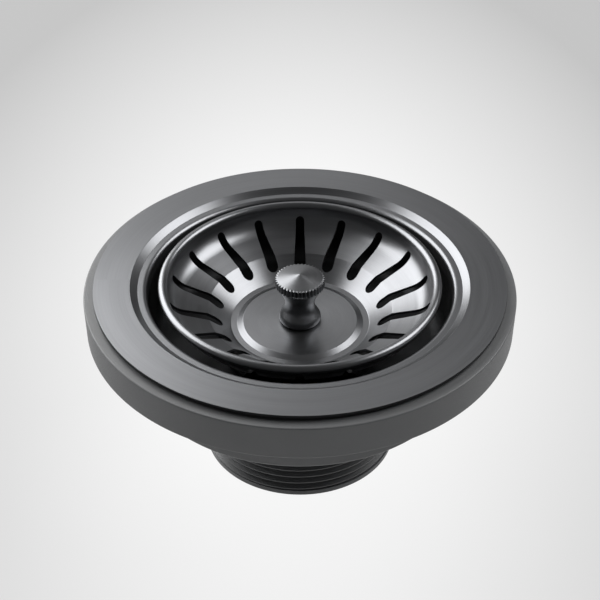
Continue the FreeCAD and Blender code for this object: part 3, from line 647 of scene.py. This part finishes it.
class STRAINER_OT_knob(bpy.types.Operator):
    """Turns the knob and knurls the edge of its head"""
    bl_idname = "strainer.knob"
    bl_label = "Knob"

    def execute(self, context):
        sizes = context.scene.strainer.knob
        base = KNOB_LOW.z
        apex = KNOB_HIGH.z
        edge_top = apex - sizes.cone
        edge_base = edge_top - sizes.edge
        # A small ring at the apex and two inside the knurl keep the notches from bending the cone.
        cone_ring = 0.25 * MM
        inner_rings = (sizes.radius - 1.3 * sizes.knurl_depth, sizes.radius - 1.6 * sizes.knurl_depth)
        slope = sizes.cone / sizes.radius
        outline = rounded([
            (0.0, base + sizes.bore_depth, 0.0),
            (sizes.bore_radius, base + sizes.bore_depth, 0.0),
            (sizes.bore_radius, base, 0.0),
            (sizes.bulb_radius, base, sizes.base_round),
            (sizes.bulb_radius, base + sizes.bulb_height, sizes.bulb_round),
            (sizes.neck_radius, base + sizes.neck_start, sizes.waist_round),
            (sizes.neck_radius, base + sizes.neck_end, sizes.flare_round),
            (sizes.flare_radius, edge_base, 0.0),
            (sizes.radius, edge_base, sizes.edge_round),
            (sizes.radius, edge_top, sizes.edge_round),
            *[(ring, apex - ring * slope, 0.0) for ring in (*inner_rings, cone_ring)],
            (0.0, apex, 0.0),
        ], closed=False)
        steps_per_tooth = 8
        steps = sizes.knurl_count * steps_per_tooth
        piece = draw_outline("knurled_knob", outline, closed=False)
        turn_round(steps)
        step_width = 2.0 * math.pi * sizes.radius / steps
        edge_start = sizes.radius - 2.0 * sizes.edge_round
        for offset in range(steps_per_tooth // 2):
            depth = sizes.knurl_depth * (1.0 - offset * step_width / (sizes.knurl_width / 2.0))

            def on_notch(spot):
                step = round(math.atan2(spot.y, spot.x) / (2.0 * math.pi) * steps) % steps_per_tooth
                return spot.xy.length > edge_start and step in (offset, (-offset) % steps_per_tooth)

            select_vertices(piece, on_notch)
            scale = 1.0 - depth / sizes.radius
            bpy.ops.transform.resize(value=(scale, scale, 1.0), center_override=(0.0, 0.0, 0.0))
        bpy.ops.object.mode_set(mode="OBJECT")
        finish_piece(piece, "strainer", "gunmetal_steel", bpy.data.materials["brushed_gunmetal_steel"],
                     "knob")
        return {"FINISHED"}


class STRAINER_OT_lower_body(bpy.types.Operator):
    """Moulds the lower body: ribbed clamping ring, drum, threaded tail and the webbed hub inside it"""
    bl_idname = "strainer.lower_body"
    bl_label = "Lower Body"

    def execute(self, context):
        settings = context.scene.strainer
        sizes = settings.body
        piece = self.turn_walls(sizes, settings.segments)
        self.cut_thread(piece, sizes, settings.segments // 2)
        combine(piece, self.ring_ribs(sizes), "UNION")
        combine(piece, self.hub_and_webs(sizes, settings.segments // 3), "UNION")
        finish_piece(piece, "waste", "moulded_plastic", bpy.data.materials["moulded_polypropylene"],
                     "lower_body", "tail")
        return {"FINISHED"}

    def turn_walls(self, sizes, steps):
        """Every turned wall but the thread, which is left open between its two ends."""
        ring_base = sizes.ring_top - sizes.ring_height
        ring_edge = sizes.ring_top - sizes.ring_fall
        ring_foot = sizes.ring_radius - sizes.ring_draft
        skirt = ring_foot - sizes.ring_wall
        plate = sizes.ring_top - sizes.ring_plate
        groove = sizes.ring_top - sizes.groove_depth
        fine = sizes.inner_round / 2.0
        outline = rounded([
            (sizes.tail_radius, sizes.thread_end, 0.0),
            (sizes.tail_radius, TAIL_LOW.z + sizes.tail_edge, fine),
            (sizes.tail_radius - sizes.tail_edge, TAIL_LOW.z, fine),
            (sizes.tail_bore, TAIL_LOW.z, fine),
            (sizes.tail_bore, sizes.drum_floor, sizes.inner_round),
            (sizes.drum_bore, sizes.drum_floor, sizes.inner_round),
            (sizes.drum_bore, sizes.ring_top - sizes.mouth_bevel, sizes.inner_round),
            (sizes.drum_bore + sizes.mouth_bevel, sizes.ring_top, fine),
            (sizes.groove_inner, sizes.ring_top, fine),
            (sizes.groove_inner, groove, fine),
            (sizes.groove_outer, groove, fine),
            (sizes.groove_outer, sizes.ring_top, fine),
            (sizes.ring_radius, ring_edge, sizes.ring_edge_round),
            (ring_foot, ring_base, sizes.ring_edge_round),
            (skirt, ring_base, fine),
            (skirt, plate, sizes.inner_round),
            (sizes.drum_radius, plate, sizes.inner_round),
            (sizes.drum_radius, sizes.drum_base, sizes.drum_edge_round),
            (sizes.tail_radius, sizes.drum_base, sizes.tail_root_round),
            (sizes.tail_radius, sizes.relief_top, fine),
            (sizes.relief_radius, sizes.relief_top, fine),
            (sizes.relief_radius, sizes.thread_top, 0.0),
        ], closed=False)
        return turned("moulded_lower_body", outline, steps)

    def cut_thread(self, piece, sizes, steps):
        """Winds one thread profile up the tail, trims it at both ends and joins it to the walls."""
        flat = sizes.thread_pitch / 8.0
        flank = sizes.thread_pitch / 2.0 - flat
        start = sizes.thread_end - 2.0 * sizes.thread_pitch
        root = sizes.thread_root
        crest = sizes.thread_crest
        heights = (0.0, flat, flat + flank, 2.0 * flat + flank, sizes.thread_pitch)
        radii = (root, root, crest, crest, root)
        profile = [Vector((radius, start + height)) for radius, height in zip(radii, heights)]
        sleeve = draw_outline("thread", profile, closed=False)
        bpy.ops.object.mode_set(mode="OBJECT")
        turns = math.ceil((sizes.thread_top - start) / sizes.thread_pitch) + 1
        apply_modifier(sleeve, "SCREW", axis="Z", angle=2.0 * math.pi, screw_offset=sizes.thread_pitch,
                       iterations=turns, steps=steps, render_steps=steps, use_smooth_shade=False)
        # The trimmed ends stand off the walls, so that each pair of loops is joined the right way round.
        run_out = 0.1 * MM
        top = sizes.thread_top - run_out
        base = sizes.thread_end + run_out
        bpy.ops.object.mode_set(mode="EDIT")
        for height, end in ((top, {"clear_outer": True}), (base, {"clear_inner": True})):
            bpy.ops.mesh.select_all(action="SELECT")
            bpy.ops.mesh.remove_doubles(threshold=WELD)
            bpy.ops.mesh.bisect(plane_co=(0.0, 0.0, height), plane_no=(0.0, 0.0, 1.0), threshold=WELD, **end)
        bpy.ops.object.mode_set(mode="OBJECT")
        bpy.ops.object.select_all(action="DESELECT")
        sleeve.select_set(True)
        piece.select_set(True)
        bpy.context.view_layer.objects.active = piece
        bpy.ops.object.join()
        bpy.ops.object.mode_set(mode="EDIT")
        bpy.ops.mesh.select_all(action="SELECT")
        bpy.ops.mesh.remove_doubles(threshold=NEAR)
        bpy.ops.mesh.select_mode(type="EDGE")
        for height in (sizes.thread_top, sizes.thread_end):
            bpy.ops.mesh.select_all(action="DESELECT")
            bpy.ops.mesh.select_non_manifold(extend=False, use_wire=False, use_multi_face=False,
                                             use_non_contiguous=False, use_verts=False)
            bpy.ops.object.mode_set(mode="OBJECT")
            for edge in piece.data.edges:
                ends = [piece.data.vertices[index].co.z for index in edge.vertices]
                edge.select = edge.select and all(abs(z - height) < 2.0 * run_out for z in ends)
            bpy.ops.object.mode_set(mode="EDIT")
            bpy.ops.mesh.bridge_edge_loops()
        bpy.ops.mesh.select_all(action="SELECT")
        bpy.ops.mesh.normals_make_consistent(inside=False)
        bpy.ops.object.mode_set(mode="OBJECT")

    def ring_ribs(self, sizes):
        """Radial ribs between the drum and the ring's skirt."""
        skirt = sizes.ring_radius - sizes.ring_draft - sizes.ring_wall
        start = sizes.drum_radius - OVERLAP
        end = skirt + OVERLAP
        low = sizes.ring_top - sizes.ring_height + sizes.rib_recess
        high = sizes.ring_top - sizes.ring_plate + OVERLAP
        return self.radial_walls(start, end, low, high, sizes.rib_wall, sizes.rib_count, 0.0)

    def hub_and_webs(self, sizes, steps):
        """The hub on its webs, as one tool."""
        hub = turned("hub", rounded([
            (sizes.hub_bore, sizes.hub_base, 0.0),
            (sizes.hub_radius, sizes.hub_base, 0.0),
            (sizes.hub_radius, sizes.hub_top, 0.0),
            (sizes.hub_bore, sizes.hub_top, 0.0),
        ], closed=True), steps, closed=True)
        start = (sizes.hub_bore + sizes.hub_radius) / 2.0
        end = sizes.tail_bore + OVERLAP
        webs = self.radial_walls(start, end, sizes.hub_base, sizes.web_top, sizes.web_wall, sizes.web_count,
                                 math.radians(45.0))
        combine(hub, webs, "UNION")
        return hub

    def radial_walls(self, start, end, low, high, wall, copies, turn):
        """Straight walls that stand out from the axis, repeated round it."""
        bpy.ops.object.select_all(action="DESELECT")
        bpy.ops.mesh.primitive_cube_add(size=1.0)
        tool = bpy.context.object
        bpy.ops.object.mode_set(mode="EDIT")
        bpy.ops.transform.resize(value=(end - start, wall, high - low))
        bpy.ops.transform.translate(value=((start + end) / 2.0, 0.0, (low + high) / 2.0))
        bpy.ops.transform.rotate(value=-turn, orient_axis="Z", center_override=(0.0, 0.0, 0.0))
        repeat_round(copies)
        bpy.ops.object.mode_set(mode="OBJECT")
        return tool


class STRAINER_OT_finishes(bpy.types.Operator):
    """Makes the materials and gives the hidden pieces theirs"""
    bl_idname = "strainer.finishes"
    bl_label = "Finishes"

    def execute(self, context):
        colours = context.scene.strainer.colours
        brushed_gunmetal("brushed_gunmetal_steel", colours.gunmetal, BASKET_LOW.z)
        brushed_unshaded_depth = 3.5 * MM
        # Below this depth the flange's dish gets painted shade as well as the duller pressed gloss.
        brushed_gunmetal("pressed_gunmetal_steel_with_painted_shade", colours.gunmetal, FLANGE_HIGH.z - brushed_unshaded_depth)
        moulded_plastic(colours)
        # Rubber from a mould: black, and dull all over
        rubber = plain_finish("moulded_nitrile_rubber", colours.rubber, 0.0, 0.6, 0.8, 0.5 * MM)
        # Stainless steel from a lathe: bright, with a gloss that varies a little
        steel = plain_finish("turned_stainless_steel", colours.steel, 1.0, 0.22, 0.34, 0.3 * MM)
        # Nylon from a mould: off-white, with a soft gloss
        nylon = plain_finish("moulded_nylon", colours.nylon, 0.0, 0.4, 0.55, 0.4 * MM)
        # Brass from a lathe: yellow, and less bright than the steel
        brass = plain_finish("turned_brass", colours.brass, 1.0, 0.25, 0.4, 0.3 * MM)
        worn_by = {
            "flange_gasket": rubber, "body_gasket": rubber, "stopper_seal": rubber,
            "clamp_screw": steel, "stem": steel, "backing_washer": steel,
            "screw_washer": nylon, "catch_bush": nylon, "threaded_insert": brass,
        }
        for node, material in worn_by.items():
            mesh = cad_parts[node].data
            mesh.materials.clear()
            mesh.materials.append(material)
        return {"FINISHED"}


class STRAINER_OT_stage(bpy.types.Operator):
    """Sets the floor, the softboxes and the camera"""
    bl_idname = "strainer.stage"
    bl_label = "Stage"

    def execute(self, context):
        self.lay_floor(context.scene.strainer.colours)
        for softbox in SOFTBOXES:
            self.hang_softbox(*softbox)
        self.dim_room(context.scene)
        self.place_camera(context.scene)
        return {"FINISHED"}

    def lay_floor(self, colours):
        """Pale paper that shows the part's shadow; to the eye and in reflections it glows outside the
        outlet, as a painted pool of light brightest near the part.
        """
        bpy.ops.object.select_all(action="DESELECT")
        bpy.ops.mesh.primitive_plane_add(size=6.0, location=(0.0, 0.0, TAIL_LOW.z))
        floor = bpy.context.object
        floor.name = floor.data.name = "paper_floor"
        material, output = new_material("white_paper")
        place = add_node(material, "ShaderNodeTexCoord").outputs["Object"]
        squeeze = (1.0, 0.5, 0.0)
        squeezed = add_node(material, "ShaderNodeVectorMath", {0: place, 1: squeeze}, operation="MULTIPLY")
        glow_centre = (0.0, 0.019, 0.0)
        distance = add_node(material, "ShaderNodeVectorMath", {0: squeezed.outputs[0], 1: glow_centre},
                            operation="DISTANCE")
        # Painted light: the paper's glow falls from full near the part to half at the corners.
        glow = add_node(material, "ShaderNodeMapRange", {
            "Value": distance.outputs["Value"], "From Min": 0.03, "From Max": 0.15,
            "To Min": 1.0, "To Max": 0.5,
        })
        paper = add_node(material, "ShaderNodeBsdfDiffuse", {"Color": colours.paper})
        lit = add_node(material, "ShaderNodeEmission", {"Color": glow.outputs[0]})
        ray = add_node(material, "ShaderNodeLightPath").outputs
        # The glow shows to the camera and in glossy rays, so it also paints reflected light onto the part.
        seen = add_node(material, "ShaderNodeMath", {0: ray["Is Camera Ray"], 1: ray["Is Glossy Ray"]},
                        operation="MAXIMUM")
        reach = add_node(material, "ShaderNodeVectorMath", {0: place}, operation="LENGTH").outputs["Value"]
        outlet = 26.0 * MM
        open_paper = add_node(material, "ShaderNodeMath", {0: reach, 1: outlet}, operation="GREATER_THAN")
        bright = add_node(material, "ShaderNodeMath", {0: seen.outputs[0], 1: open_paper.outputs[0]},
                          operation="MULTIPLY")
        bright_share = 0.92
        share = add_node(material, "ShaderNodeMath", {0: bright.outputs[0], 1: bright_share},
                         operation="MULTIPLY")
        mix = add_node(material, "ShaderNodeMixShader", {
            0: share.outputs[0], 1: paper.outputs[0], 2: lit.outputs[0],
        })
        material.node_tree.links.new(mix.outputs[0], output.inputs["Surface"])
        floor.data.materials.append(material)

    def hang_softbox(self, name, azimuth, elevation, width, height, power):
        """A soft rectangular light that faces the part; azimuth is counted from +X towards +Y."""
        bearing = math.radians(azimuth)
        rise = math.radians(elevation)
        across = math.cos(rise) * SOFTBOX_DISTANCE
        up = math.sin(rise) * SOFTBOX_DISTANCE
        place = Vector((across * math.cos(bearing), across * math.sin(bearing), up))
        turn = place.to_track_quat("Z", "Y").to_euler()
        bpy.ops.object.light_add(type="AREA", location=place, rotation=turn)
        lamp = bpy.context.object
        lamp.name = lamp.data.name = name
        lamp.data.shape = "RECTANGLE"
        lamp.data.size = width
        lamp.data.size_y = height
        lamp.data.energy = power

    def dim_room(self, scene):
        """Low even light from the room."""
        world = bpy.data.worlds.new("studio")
        world.use_nodes = True
        background = world.node_tree.nodes["Background"]
        background.inputs["Color"].default_value = (ROOM_LIGHT, ROOM_LIGHT, ROOM_LIGHT, 1.0)
        scene.world = world

    def place_camera(self, scene):
        """The photograph's view: from the front, 37 degrees above the flange."""
        turn = (CAMERA_PLACE - CAMERA_TARGET).to_track_quat("Z", "Y").to_euler()
        bpy.ops.object.camera_add(location=CAMERA_PLACE, rotation=turn)
        camera = bpy.context.object
        camera.data.lens = CAMERA_LENS
        camera.data.sensor_width = CAMERA_SENSOR
        scene.camera = camera
        scene.view_settings.view_transform = "Standard"


class STRAINER_PT_panel(bpy.types.Panel):
    """Lists the sizes, the colours and the steps that make the part"""
    bl_idname = "STRAINER_PT_panel"
    bl_label = "Basket Strainer Waste"
    bl_space_type = "VIEW_3D"
    bl_region_type = "UI"
    bl_category = "Strainer"

    def draw(self, context):
        settings = context.scene.strainer
        for group in (settings.flange, settings.basket, settings.knob, settings.body, settings.colours):
            box = self.layout.box()
            for name in group.__annotations__:
                box.prop(group, name)
        self.layout.prop(settings, "segments")
        for step in STEPS:
            self.layout.operator(step.bl_idname)


STEPS = (
    STRAINER_OT_finishes,
    STRAINER_OT_flange_dish,
    STRAINER_OT_basket,
    STRAINER_OT_knob,
    STRAINER_OT_lower_body,
    STRAINER_OT_stage,
)
CLASSES = (
    FlangeSizes,
    BasketSizes,
    KnobSizes,
    BodySizes,
    FinishColours,
    StrainerSettings,
    *STEPS,
    STRAINER_PT_panel,
)


def register():
    for entry in CLASSES:
        bpy.utils.register_class(entry)
    bpy.types.Scene.strainer = PointerProperty(type=StrainerSettings)


def unregister():
    del bpy.types.Scene.strainer
    for entry in reversed(CLASSES):
        bpy.utils.unregister_class(entry)


def main():
    register()
    bpy.ops.strainer.finishes()
    bpy.ops.strainer.flange_dish()
    bpy.ops.strainer.basket()
    bpy.ops.strainer.knob()
    bpy.ops.strainer.lower_body()
    bpy.ops.strainer.stage()


if __name__ == "__main__":
    main()
